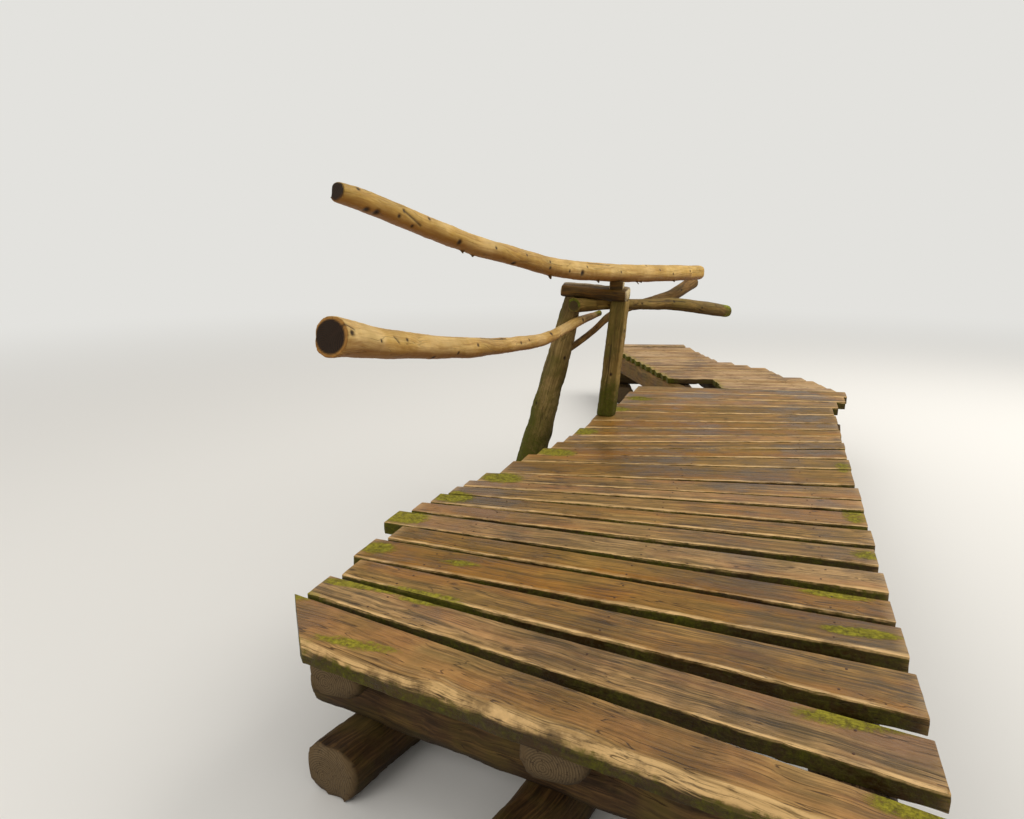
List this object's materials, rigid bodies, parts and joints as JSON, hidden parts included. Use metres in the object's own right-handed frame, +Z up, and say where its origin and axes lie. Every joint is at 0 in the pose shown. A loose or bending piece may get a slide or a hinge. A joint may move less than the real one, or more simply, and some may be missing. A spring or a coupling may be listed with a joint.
{
  "type": "wooden footbridge",
  "caption": "Rustic footbridge: a fanned plank deck on log stringers, sills and cribs, with crooked pole rails on one side.",
  "frame": {"origin": "on the ground under the middle of the near sill, at the underside of the near crib's middle log", "axes": "+Y along the walk away from the near end, +X to the right when walking that way, +Z up"},
  "size_m": [2.3606, 7.5482, 2.009],
  "materials": {
    "near_planks": "wet, weathered rough-sawn timber",
    "far_planks": "dry, greyed rough-sawn timber",
    "peeled_poles": "peeled, weathered pole",
    "mossy_pole": "weathered pole with moss",
    "posts": "weathered round timber with algae",
    "edge_beam": "weathered squared timber",
    "logs": "damp, dark round timber"
  },
  "bodies": {
    "root": {"near_crib": "logs", "middle_crib": "logs", "junction_crib": "logs", "far_crib": "logs", "near_sill": "logs", "middle_sill": "logs", "junction_sill": "logs", "far_sill": "logs", "left_stringer": "logs", "middle_stringer": "logs", "right_stringer": "logs", "edge_beam": "edge_beam", "far_stringer": "logs", "side_stringer": "logs", "side_block": "logs", "small_prop": "posts", "front_plank": "near_planks", "plank_02": "near_planks", "plank_03": "near_planks", "plank_04": "near_planks", "plank_05": "near_planks", "plank_06": "near_planks", "plank_07": "near_planks", "plank_08": "near_planks", "plank_09": "near_planks", "plank_10": "near_planks", "plank_11": "near_planks", "plank_12": "near_planks", "plank_13": "near_planks", "plank_14": "near_planks", "plank_15": "near_planks", "plank_16": "near_planks", "plank_17": "near_planks", "plank_18": "near_planks", "plank_19": "near_planks", "plank_20": "near_planks", "junction_planks": "near_planks", "tree_side_planks": "far_planks", "far_planks": "far_planks", "upright_post": "posts", "leaning_post": "posts", "cap_log": "logs", "rail_chock": "logs", "upper_rail": "peeled_poles", "lower_rail": "peeled_poles", "middle_rail": "mossy_pole", "brace_pole": "posts"}
  },
  "joints": []
}
